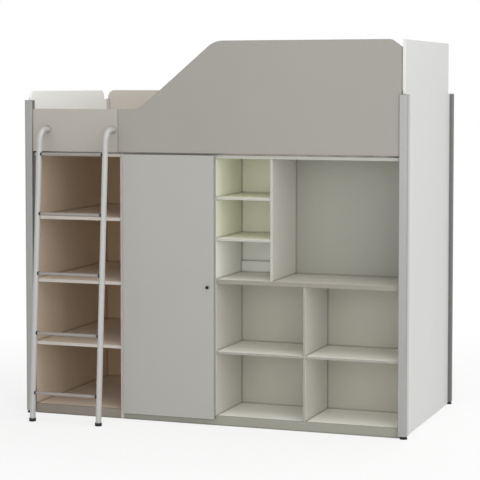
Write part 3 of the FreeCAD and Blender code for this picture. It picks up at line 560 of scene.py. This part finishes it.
boardCoats = [
    {"slot": "white_panel", "face": "endWhite", "easing": 0.0022, "nodes": ["right_end_panel"]},
    {"slot": "white_panel", "face": "leftWhite", "easing": 0.0022, "nodes": ["left_end_panel"]},
    {"slot": "guard_grey", "face": "guardGrey", "easing": 0.0024, "nodes": ["front_guard_panel"]},
    {"slot": "guard_grey", "face": "entryGrey", "easing": 0.0024, "nodes": ["front_low_board"]},
    {"slot": "rear_beige", "face": "rearBeige", "easing": 0.0024, "nodes": ["rear_guard_panel"]},
    {"slot": "door_grey", "face": "doorGrey", "easing": 0.0016, "nodes": ["wardrobe_door"]},
    {"slot": "bay_taupe", "face": "bayTaupe", "edge": "bayEdge", "easing": 0.0011,
     "nodes": ["bay_left_side", "bay_right_side", "bay_top"]},
    {"slot": "bay_taupe", "face": "bayBack", "edge": "bayEdge", "easing": 0.0011, "nodes": ["bay_back"]},
    {"slot": "bay_taupe", "face": "bayFloor", "edge": "bayEdge", "easing": 0.0011,
     "nodes": ["bay_bottom", "bay_shelf_low", "bay_shelf_middle", "bay_shelf_high"]},
    {"slot": "unit_cream", "face": "unitWall", "edge": "unitEdge", "easing": 0.0011,
     "nodes": ["wardrobe_side", "wardrobe_bottom", "wardrobe_top", "wardrobe_back", "hat_shelf",
               "desk_unit_side", "lower_divider"]},
    {"slot": "unit_cream", "face": "unitWall", "edge": "wallEdge", "easing": 0.0011,
     "nodes": ["partition"]},
    {"slot": "unit_cream", "face": "unitWall", "edge": "paleEdge", "easing": 0.0011,
     "nodes": ["upper_divider", "desk_unit_top"]},
    {"slot": "unit_cream", "face": "unitShelf", "edge": "paleEdge", "easing": 0.0011,
     "nodes": ["cubby_shelf_low", "cubby_shelf_high"]},
    {"slot": "unit_cream", "face": "unitShelf", "edge": "unitEdge", "easing": 0.0011,
     "nodes": ["lower_left_shelf", "lower_right_shelf", "cubby_back_rail"]},
    {"slot": "unit_cream", "face": "unitFloor", "edge": "unitEdge", "easing": 0.0011,
     "nodes": ["desk_unit_bottom"]},
    {"slot": "unit_cream", "face": "deskCream", "edge": "deskEdge", "easing": 0.0011,
     "nodes": ["desk_top"]},
    {"slot": "unit_cream", "face": "unitBack", "edge": "unitEdge", "easing": 0.0011,
     "nodes": ["desk_unit_back"]},
    {"slot": "plinth_grey", "face": "plinthGrey", "easing": 0.0011, "nodes": ["main_plinth"]},
    {"slot": "plinth_taupe", "face": "plinthTaupe", "easing": 0.0011, "nodes": ["bay_plinth"]},
]
solidCoats = [
    {"slot": "post_aluminium", "face": "postSilver", "easing": 0.0005,
     "nodes": ["front_left_post", "front_right_post"]},
    {"slot": "post_aluminium", "face": "postRearLeft", "easing": 0.0005, "nodes": ["rear_left_post"]},
    {"slot": "post_aluminium", "face": "postRearRight", "easing": 0.0005, "nodes": ["rear_right_post"]},
    {"slot": "cap_grey", "face": "capGrey", "easing": 0.0006, "nodes": ["post_top_caps"]},
    {"slot": "black_plastic", "face": "blackPlastic", "easing": 0.0006,
     "nodes": ["front_left_foot", "front_right_foot", "rear_left_foot", "rear_right_foot",
               "ladder_shoes"]},
    {"slot": "black_plastic", "face": "knobBlack", "easing": 0.0006, "nodes": ["door_knob"]},
    {"slot": "zinc_steel", "face": "zincPlate", "easing": 0.0003,
     "nodes": ["rail_corner_brackets", "door_hinge_cups", "door_hinge_arms", "ladder_fixings"]},
    {"slot": "chrome", "face": "chromePlate", "easing": 0.0005,
     "nodes": ["hanging_rail", "hanging_rail_sockets"]},
    {"slot": "birch", "face": "railBirch", "easing": 0.0020, "nodes": ["front_bed_rail", "rear_bed_rail"]},
    {"slot": "birch", "face": "endRailBirch", "easing": 0.0020,
     "nodes": ["left_end_rail", "right_end_rail"]},
]
for coat in boardCoats + solidCoats:
    for nodeName in coat["nodes"]:
        dress(nodeName, coat)
print("boards and solids dressed")


# Geometry Nodes for what repeats or follows a path
class Pattern(Graph):
    kinds = {int: "NodeSocketInt", float: "NodeSocketFloat", tuple: "NodeSocketVector"}
    sharpAngle = 38.0

    def __init__(self, name, sizes, takes=()):
        super().__init__(bpy.data.node_groups.new(name, "GeometryNodeTree"))
        self.sizes = sizes
        self.ids = {}
        face = self.tree.interface
        face.new_socket("Shape", in_out="OUTPUT", socket_type="NodeSocketGeometry")
        wanted = {label: "NodeSocket" + label for label in takes}
        wanted.update({label: self.kinds[type(value)] for label, value in sizes.items()})
        wanted["Material"] = "NodeSocketMaterial"
        for label, kind in wanted.items():
            self.ids[label] = face.new_socket(label, in_out="INPUT", socket_type=kind).identifier
        source = self.tree.nodes.new("NodeGroupInput")
        self.given = {s.name: Wire(self, s) for s in source.outputs if s.name}

    def close(self, shape):
        whole = self.add("GeometryNodeRealizeInstances", None, {"Geometry": shape})
        smooth = self.add("GeometryNodeSetShadeSmooth", None, {"Geometry": whole})
        values = {"Geometry": smooth, "Material": self.given["Material"]}
        painted = self.add("GeometryNodeSetMaterial", None, values)
        output = self.tree.nodes.new("NodeGroupOutput")
        self.feed(output.inputs["Shape"], painted)

    def make(self, name, finish, values, seed=None):
        piece = newPiece(name, seed or bpy.data.meshes.new(name + "_seed"))
        modifier = piece.modifiers.new("pattern", "NODES")
        modifier.node_group = self.tree
        for label, value in {**self.sizes, **values, "Material": finish}.items():
            modifier[self.ids[label]] = value
        piece.data = plainMesh(piece, name + "_mesh")
        piece.modifiers.clear()
        outward = bmesh.new()
        outward.from_mesh(piece.data)
        bmesh.ops.recalc_face_normals(outward, faces=outward.faces[:])
        outward.to_mesh(piece.data)
        outward.free()
        piece.data.set_sharp_from_angle(angle=math.radians(self.sharpAngle))
        return piece


def barGrid():
    # bars of a rounded section, stepped in rows and across
    grid = Pattern("barGrid", {"Rows": 5, "Columns": 1, "Start": (0.0, 0.0, 0.0), "Step": (0.0, 0.0, 0.3),
                               "Across": (0.3, 0.0, 0.0), "Run": (0.3, 0.0, 0.0),
                               "Wide": 0.03, "Tall": 0.02, "Corner": 0.004, "Turns": 6})
    given = grid.given
    section = grid.add("GeometryNodeCurvePrimitiveQuadrilateral", None,
                       {"Width": given["Wide"], "Height": given["Tall"]})
    section = grid.add("GeometryNodeFilletCurve", {"mode": "POLY"},
                       {"Curve": section, "Radius": given["Corner"], "Count": given["Turns"]})
    line = grid.add("GeometryNodeCurvePrimitiveLine", None, {"Start": (0.0, 0.0, 0.0), "End": given["Run"]})
    line = grid.add("GeometryNodeSetCurveNormal", {"mode": "Z_UP"}, {"Curve": line})
    bar = grid.add("GeometryNodeCurveToMesh", None,
                   {"Curve": line, "Profile Curve": section, "Fill Caps": True})
    columns = grid.add("GeometryNodeMeshLine", None, {"Count": given["Columns"], "Offset": given["Across"]})
    rows = grid.add("GeometryNodeMeshLine", None,
                    {"Count": given["Rows"], "Start Location": given["Start"], "Offset": given["Step"]})
    spots = grid.add("GeometryNodeInstanceOnPoints", None, {"Points": rows, "Instance": columns})
    spots = grid.add("GeometryNodeRealizeInstances", None, {"Geometry": spots})
    grid.close(grid.add("GeometryNodeInstanceOnPoints", None, {"Points": spots, "Instance": bar}))
    return grid


def tubeRun():
    # round tube along a bent path
    run = Pattern("tubeRun", {"Radius": 0.0145, "Bend": 0.05, "Sides": 28, "Turns": 14}, ["Geometry"])
    given = run.given
    path = run.add("GeometryNodeMeshToCurve", None, {"Mesh": given["Geometry"]})
    path = run.add("GeometryNodeFilletCurve", {"mode": "POLY"},
                   {"Curve": path, "Radius": given["Bend"], "Count": given["Turns"]})
    ring = run.add("GeometryNodeCurvePrimitiveCircle", None,
                   {"Resolution": given["Sides"], "Radius": given["Radius"]}, "Curve")
    run.close(run.add("GeometryNodeCurveToMesh", None,
                      {"Curve": path, "Profile Curve": ring, "Fill Caps": True}))
    return run


def screwSet():
    # one head on each point, turned to the point's aim
    rows = Pattern("screwSet", {"Size": 1.0}, ["Geometry", "Object"])
    given = rows.given
    head = rows.add("GeometryNodeObjectInfo", None, {"Object": given["Object"]}, "Geometry")
    aim = rows.add("GeometryNodeInputNamedAttribute", {"data_type": "FLOAT_VECTOR"}, {"Name": "aim"})
    turn = rows.add("FunctionNodeAlignRotationToVector", {"axis": "Z"}, {"Vector": aim})
    rows.close(rows.add("GeometryNodeInstanceOnPoints", None, {
        "Points": given["Geometry"], "Instance": head, "Rotation": turn, "Scale": given["Size"]}))
    return rows


bars = barGrid()
tubes = tubeRun()
screws = screwSet()
print("patterns ready")

# ladder: two bent tubes, oval rungs, black collars
ladder = {
    "rails": (-0.880, -0.516), "tube": 0.029, "bend": 0.064, "lean": 4.0, "reach": 0.091,
    "footHeight": 0.005, "hookHeight": 1.468, "boardFace": 0.008,
    "rungs": 5, "firstRung": 0.144, "rungStep": 0.3005,
    "rungWide": 0.024, "rungTall": 0.015, "rungRound": 0.0065,
    "collar": 0.004, "collarSink": 0.004, "collarRim": 0.001,
}
lean = math.tan(math.radians(ladder["lean"]))
boardY = front + ladder["boardFace"]
hookY = boardY - ladder["reach"]


def railY(height):
    return hookY - (ladder["hookHeight"] - height) * lean


for side, x in zip(("left", "right"), ladder["rails"]):
    path = bpy.data.meshes.new("railPath")
    foot, hook = ladder["footHeight"], ladder["hookHeight"]
    path.from_pydata([(x, railY(foot), foot), (x, hookY, hook), (x, boardY, hook)], [(0, 1), (1, 2)], [])
    rail = tubes.make(f"ladder_{side}_tube", finishes["ladderWhite"],
                      {"Radius": ladder["tube"] / 2, "Bend": ladder["bend"]}, path)
    seat(rail, nodes[f"ladder_{side}_rail"]["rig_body"], "ladder_white", f"ladder_{side}_rail")

firstY = railY(ladder["firstRung"])
rungLeft = ladder["rails"][0] + ladder["tube"] / 2 + ladder["collar"]
rungRight = ladder["rails"][1] - ladder["tube"] / 2 - ladder["collar"]
climb = {"Rows": ladder["rungs"], "Step": (0.0, ladder["rungStep"] * lean, ladder["rungStep"])}
rungs = bars.make("ladder_rung_bars", finishes["rungGrey"], {
    **climb, "Start": (rungLeft, firstY, ladder["firstRung"]), "Run": (rungRight - rungLeft, 0.0, 0.0),
    "Wide": ladder["rungWide"], "Tall": ladder["rungTall"], "Corner": ladder["rungRound"]})
seat(rungs, nodes["ladder_rungs"]["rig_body"], "ladder_white", "ladder_rungs")

collarRun = ladder["collar"] + ladder["collarSink"]
rim = ladder["collarRim"]
collars = bars.make("rung_collar_rings", finishes["blackPlastic"], {
    **climb, "Columns": 2, "Start": (rungLeft - collarRun, firstY, ladder["firstRung"]),
    "Across": (rungRight - rungLeft + collarRun, 0.0, 0.0), "Run": (collarRun, 0.0, 0.0),
    "Wide": ladder["rungWide"] + 2 * rim, "Tall": ladder["rungTall"] + 2 * rim,
    "Corner": ladder["rungRound"] + rim})
seat(collars, nodes["rung_collars"]["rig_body"], "black_plastic", "rung_collars")

# slats across the ledger rails
slats = {"count": 14, "first": -0.900, "wide": 0.070, "thick": 0.012, "round": 0.004,
         "front": 0.031, "length": 0.938, "middle": 1.428}
slatStep = -2 * slats["first"] / (slats["count"] - 1)
slatBars = bars.make("bed_slat_bars", finishes["slatBirch"], {
    "Rows": slats["count"], "Start": (slats["first"], front + slats["front"], slats["middle"]),
    "Step": (slatStep, 0.0, 0.0), "Run": (0.0, slats["length"], 0.0),
    "Wide": slats["wide"], "Tall": slats["thick"], "Corner": slats["round"]})
seat(slatBars, nodes["bed_slats"]["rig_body"], "birch", "bed_slats")
print("ladder and slats made")

# screws where such beds have them; profile gives radius and height, from the base up
screwLook = {"sides": 10, "profile": [(0.0043, 0.0), (0.0043, 0.0006), (0.0027, 0.0018)],
             "arm": 0.0020, "wing": 0.0005, "recess": 0.0011, "recessFloor": 0.7}


def ringPairs(ring):
    return list(zip(ring, ring[1:] + ring[:1]))


def screwHead(look):
    # low round head with a cross recess
    shape = bmesh.new()
    turns = [2 * math.pi * k / look["sides"] for k in range(look["sides"])]
    rings = [[shape.verts.new((radius * math.cos(a), radius * math.sin(a), height)) for a in turns]
             for radius, height in look["profile"]]
    for low, high in zip(rings, rings[1:]):
        for (a, b), (c, d) in zip(ringPairs(low), ringPairs(high)):
            shape.faces.new((a, b, d, c))
    arm, wing, inner = look["arm"], look["wing"], look["recessFloor"]
    corner = [(wing, -wing), (arm, -wing), (arm, wing)]
    cross = [(x * math.cos(q) - y * math.sin(q), x * math.sin(q) + y * math.cos(q))
             for q in (k * math.pi / 2 for k in range(4)) for x, y in corner]
    height = look["profile"][-1][1]
    top = [shape.verts.new((x, y, height)) for x, y in cross]
    deep = [shape.verts.new((inner * x, inner * y, height - look["recess"])) for x, y in cross]
    rimEdges = [shape.edges.new(pair) for pair in ringPairs(top)]
    lipEdges = [shape.edges.get(pair) for pair in ringPairs(rings[-1])]
    bmesh.ops.triangle_fill(shape, edges=rimEdges + lipEdges, use_beauty=True)
    inside = [f for f in shape.faces if all(v in top for v in f.verts)]
    bmesh.ops.delete(shape, geom=inside, context="FACES_ONLY")
    for (a, b), (c, d) in zip(ringPairs(top), ringPairs(deep)):
        shape.faces.new((a, b, d, c))
    shape.faces.new(deep)
    shape.faces.new(list(reversed(rings[0])))
    bmesh.ops.recalc_face_normals(shape, faces=shape.faces[:])
    mesh = bpy.data.meshes.new("screwHead")
    shape.to_mesh(mesh)
    shape.free()
    return newPiece("screwHead", mesh)


# rows are given as first, last and count; y is measured from the front plane
screwPlaces = {
    "rail": {"front": 0.053, "rear": 0.947, "end": 0.956, "z": 1.392,
             "rowX": (-0.83, 0.83, 8), "rowY": (0.17, 0.83, 4)},
    "bracket": {"thick": 0.004, "reach": (0.020, 0.037)},
    "socket": {"middle": -0.219, "half": 0.227, "y": 0.300, "z": (1.0166, 1.0514)},
    "hinge": {"z": (0.143, 0.6895, 1.236), "armX": -0.437, "armY": 0.062,
              "plateX": -0.43875, "plateY": (0.046, 0.078), "plateRise": (-0.0105, 0.0105)},
    "tallBack": {"x": (-0.973, -0.478, -0.462, 0.024), "y": 0.928, "rowZ": (0.10, 1.27, 6)},
    "deskBack": {"rowX": (0.10, 0.93, 5), "y": 0.409, "z": (0.040, 0.721, 1.340)},
}


def spread(first, last, count):
    return [first + (last - first) * k / (count - 1) for k in range(count)]


def frameScrews(rail, bracket, socket, hinge, tallBack, deskBack):
    spots = []

    def put(x, y, z, aim):
        spots.append(((x, front + y, z), aim))

    rightward, rearward = (1.0, 0.0, 0.0), (0.0, 1.0, 0.0)
    longRails = [(rail["front"], (0.0, 1.0, 0.0)), (rail["rear"], (0.0, -1.0, 0.0))]
    for side in (-1, 1):
        inward = (-side, 0.0, 0.0)
        for y, facing in longRails:
            for reach in bracket["reach"]:
                put(side * (rail["end"] - reach), y + facing[1] * bracket["thick"], rail["z"], facing)
                put(side * (rail["end"] - bracket["thick"]), y + facing[1] * reach, rail["z"], inward)
        for y in spread(*rail["rowY"]):
            put(side * rail["end"], y, rail["z"], inward)
        for z in socket["z"]:
            put(socket["middle"] + side * socket["half"], socket["y"], z, inward)
    for x in spread(*rail["rowX"]):
        for y, facing in longRails:
            put(x, y, rail["z"], facing)
    for z in hinge["z"]:
        put(hinge["armX"], hinge["armY"], z, rightward)
        for y in hinge["plateY"]:
            for rise in hinge["plateRise"]:
                put(hinge["plateX"], y, z + rise, rightward)
    for x in tallBack["x"]:
        for z in spread(*tallBack["rowZ"]):
            put(x, tallBack["y"], z, rearward)
    for z in deskBack["z"]:
        for x in spread(*deskBack["rowX"]):
            put(x, deskBack["y"], z, rearward)
    return spots


def setScrews(name, body, spots):
    seed = bpy.data.meshes.new("screwSpots")
    seed.from_pydata([place for place, aim in spots], [], [])
    aims = seed.attributes.new("aim", "FLOAT_VECTOR", "POINT")
    for entry, (place, aim) in zip(aims.data, spots):
        entry.vector = aim
    head = screwHead(screwLook)
    piece = screws.make(name, finishes["zincPlate"], {"Object": head}, seed)
    bpy.data.objects.remove(head)
    seat(piece, body, "zinc_steel")


setScrews("frame_screws", nodes["front_bed_rail"]["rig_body"], frameScrews(**screwPlaces))
print("screws set")

# camera at the photograph's place
cameraLook = {"place": (2.9685, -8.1930, 1.6938), "turn": 19.774, "tilt": -3.131,
              "lens": 126.855, "sensor": 36.0, "shiftY": -0.13}
camera = bpy.data.objects.new("camera", bpy.data.cameras.new("camera"))
camera.location = cameraLook["place"]
camera.rotation_euler = (math.radians(90 + cameraLook["tilt"]), 0, math.radians(cameraLook["turn"]))
camera.data.lens = cameraLook["lens"]
camera.data.sensor_width = cameraLook["sensor"]
camera.data.shift_y = cameraLook["shiftY"]
scene.collection.objects.link(camera)
scene.camera = camera

# studio: soft lights, and a sky that shows white but lights the bed less
studio = {
    "sky": 0.45,
    "aim": (0.0, 0.0, 0.9),
    "lamps": [
        {"name": "key", "place": (5.2, -6.7, 3.0), "size": 6.0, "watts": 190.0},
        {"name": "fill", "place": (-1.0, -8.2, 1.5), "size": 4.5, "watts": 112.0},
        {"name": "top", "place": (2.2, -1.2, 5.6), "size": 5.0, "watts": 145.0},
        {"name": "back", "place": (0.0, 6.5, 4.0), "size": 4.0, "watts": 95.0},
    ],
}
white = (1.0, 1.0, 1.0, 1.0)
for lamp in studio["lamps"]:
    light = bpy.data.lights.new(lamp["name"], "AREA")
    light.energy = lamp["watts"]
    light.size = lamp["size"]
    holder = bpy.data.objects.new(lamp["name"], light)
    holder.location = lamp["place"]
    holder.rotation_euler = (Vector(studio["aim"]) - holder.location).to_track_quat("-Z", "Y").to_euler()
    scene.collection.objects.link(holder)

world = bpy.data.worlds.new("studio")
scene.world = world
world.use_nodes = True
sky = Graph(world.node_tree)
background = world.node_tree.nodes["Background"]
background.inputs["Color"].default_value = white
sky.feed(background.inputs["Strength"], studio["sky"] + sky.seenRays() * (1.0 - studio["sky"]))

# pale floor that fades to white away from the bed
floorLook = {"size": 30.0, "colour": (0.88, 0.88, 0.87), "roughness": 0.8, "gloss": 0.2,
             "fadeFrom": 1.2, "fadeTo": 3.2, "whiteNear": 0.76, "whiteFar": 1.0}
half = floorLook["size"] / 2
floorMesh = bpy.data.meshes.new("floor")
floorMesh.from_pydata([(-half, -half, 0), (half, -half, 0), (half, half, 0), (-half, half, 0)],
                      [], [(0, 1, 2, 3)])
floor = newPiece("floor", floorMesh)
ground = Finish("floorPale", floorLook)
ground.feed(ground.shader.inputs["Base Color"], (*floorLook["colour"], 1.0))
distance = ground.add("ShaderNodeVectorMath", {"operation": "LENGTH"}, {0: ground.place}, "Value")
fade = ground.add("ShaderNodeMapRange", None, {
    "Value": distance, "From Min": floorLook["fadeFrom"], "From Max": floorLook["fadeTo"],
    "To Min": floorLook["whiteNear"], "To Max": floorLook["whiteFar"]})
plain = Wire(ground, ground.shader.outputs[0])
glow = ground.add("ShaderNodeEmission", None, {"Color": white, "Strength": 1.0})
mixed = ground.add("ShaderNodeMixShader", None, {0: ground.seenRays() * fade, 1: plain, 2: glow})
ground.feed(ground.tree.nodes["Material Output"].inputs["Surface"], mixed)
floorMesh.materials.append(ground.material)
print("studio ready")
